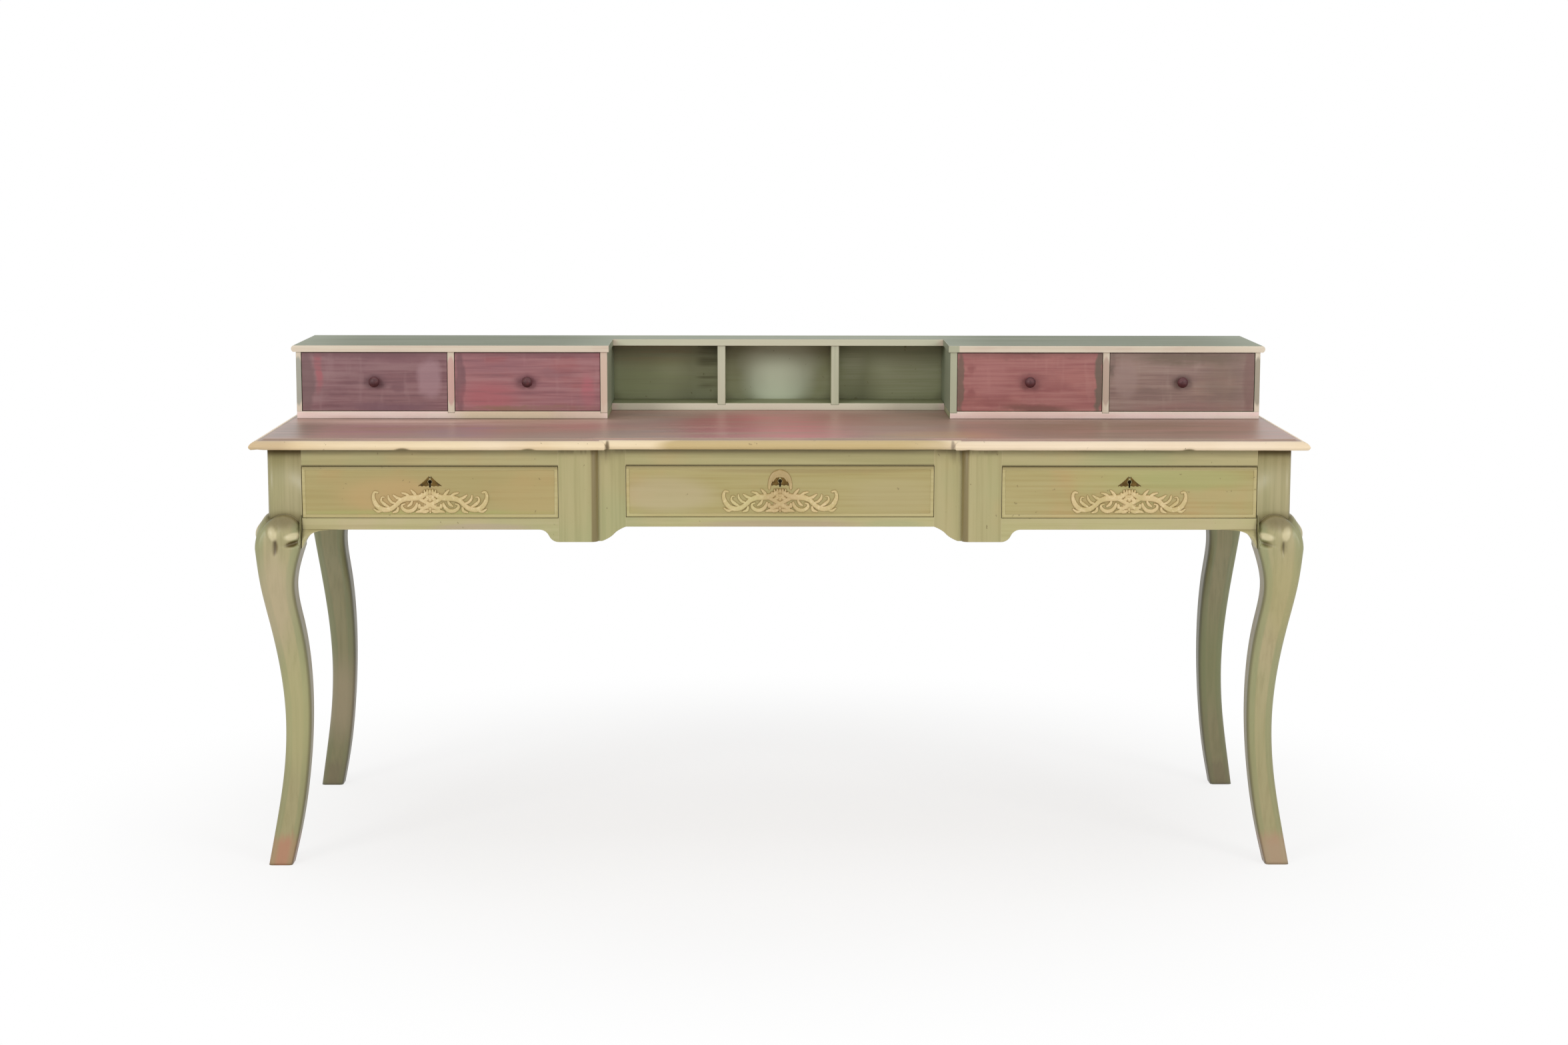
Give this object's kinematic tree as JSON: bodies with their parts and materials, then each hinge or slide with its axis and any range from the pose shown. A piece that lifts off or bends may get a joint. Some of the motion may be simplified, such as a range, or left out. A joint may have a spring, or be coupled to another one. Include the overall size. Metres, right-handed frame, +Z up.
{
  "type": "bonheur du jour",
  "caption": "Painted breakfront writing desk on cabriole legs: frieze drawers with locks below, a low gallery of small drawers and pigeonholes on top.",
  "frame": {"origin": "on the floor, at the middle of the desk in plan", "axes": "+Z up, +X to the right seen from the front, front towards -Y"},
  "size_m": [1.842, 0.69, 0.896],
  "materials": {
    "carcass_paint": "old olive and cream paint, rubbed through along the edges",
    "top_paint": "mauve pink paint under a worn gloss varnish",
    "moulding_paint": "cream ochre paint, crackled and rubbed",
    "gallery_paint": "sage grey green paint with cream front edges",
    "gallery_drawer_paint": "streaky mauve and rose red paint",
    "knob_paint": "dark red brown, polished by use",
    "applique": "pale gold paint on carved wood",
    "bare_wood": "unfinished pine, smooth planed",
    "lock_brass": "dull brass"
  },
  "bodies": {
    "desk": {"back_apron": "carcass_paint", "drawer_kickers": "bare_wood", "drawer_runners": "bare_wood", "gallery_back": "gallery_paint", "gallery_base": "gallery_paint", "gallery_divider_left": "gallery_paint", "gallery_divider_right": "gallery_paint", "gallery_end_left": "gallery_paint", "gallery_end_right": "gallery_paint", "gallery_inner_left": "gallery_paint", "gallery_inner_right": "gallery_paint", "gallery_top": "gallery_paint", "glue_blocks": "bare_wood", "junction_block_left": "carcass_paint", "junction_block_right": "carcass_paint", "knee_brackets": "carcass_paint", "leg_front_left": "carcass_paint", "leg_front_right": "carcass_paint", "leg_rear_left": "carcass_paint", "leg_rear_right": "carcass_paint", "lower_rail_centre": "carcass_paint", "lower_rail_left": "carcass_paint", "lower_rail_right": "carcass_paint", "partition_left": "carcass_paint", "partition_right": "carcass_paint", "pigeonhole_divider_left": "gallery_paint", "pigeonhole_divider_right": "gallery_paint", "side_apron_left": "carcass_paint", "side_apron_right": "carcass_paint", "tabletop": "top_paint", "tabletop_moulding": "moulding_paint", "top_rail_centre": "carcass_paint", "top_rail_left": "carcass_paint", "top_rail_right": "carcass_paint"},
    "left_drawer": {"left_drawer_front": "carcass_paint", "left_drawer_box": "bare_wood", "left_drawer_lock": "lock_brass", "left_drawer_mount": "applique"},
    "left_bolt": {"left_drawer_bolt": "lock_brass"},
    "centre_drawer": {"centre_drawer_front": "carcass_paint", "centre_drawer_box": "bare_wood", "centre_drawer_lock": "lock_brass", "centre_drawer_mount": "applique"},
    "centre_bolt": {"centre_drawer_bolt": "lock_brass"},
    "right_drawer": {"right_drawer_front": "carcass_paint", "right_drawer_box": "bare_wood", "right_drawer_lock": "lock_brass", "right_drawer_mount": "applique"},
    "right_bolt": {"right_drawer_bolt": "lock_brass"},
    "gallery_drawer_1": {"gallery_drawer_1_front": "gallery_drawer_paint", "gallery_drawer_1_box": "bare_wood"},
    "gallery_drawer_2": {"gallery_drawer_2_front": "gallery_drawer_paint", "gallery_drawer_2_box": "bare_wood"},
    "gallery_drawer_3": {"gallery_drawer_3_front": "gallery_drawer_paint", "gallery_drawer_3_box": "bare_wood"},
    "gallery_drawer_4": {"gallery_drawer_4_front": "gallery_drawer_paint", "gallery_drawer_4_box": "bare_wood"}
  },
  "joints": [
    {"name": "left_drawer_slide", "type": "slide", "parent": "desk", "child": "left_drawer", "axis": [0, -1, 0], "range_m": [0, 0.4]},
    {"name": "left_bolt_throw", "type": "slide", "parent": "left_drawer", "child": "left_bolt", "axis": [0, 0, 1], "range_m": [0, 0.008]},
    {"name": "centre_drawer_slide", "type": "slide", "parent": "desk", "child": "centre_drawer", "axis": [0, -1, 0], "range_m": [0, 0.4]},
    {"name": "centre_bolt_throw", "type": "slide", "parent": "centre_drawer", "child": "centre_bolt", "axis": [0, 0, 1], "range_m": [0, 0.008]},
    {"name": "right_drawer_slide", "type": "slide", "parent": "desk", "child": "right_drawer", "axis": [0, -1, 0], "range_m": [0, 0.4]},
    {"name": "right_bolt_throw", "type": "slide", "parent": "right_drawer", "child": "right_bolt", "axis": [0, 0, 1], "range_m": [0, 0.008]},
    {"name": "gallery_drawer_1_slide", "type": "slide", "parent": "desk", "child": "gallery_drawer_1", "axis": [0, -1, 0], "range_m": [0, 0.19]},
    {"name": "gallery_drawer_2_slide", "type": "slide", "parent": "desk", "child": "gallery_drawer_2", "axis": [0, -1, 0], "range_m": [0, 0.19]},
    {"name": "gallery_drawer_3_slide", "type": "slide", "parent": "desk", "child": "gallery_drawer_3", "axis": [0, -1, 0], "range_m": [0, 0.19]},
    {"name": "gallery_drawer_4_slide", "type": "slide", "parent": "desk", "child": "gallery_drawer_4", "axis": [0, -1, 0], "range_m": [0, 0.19]}
  ]
}
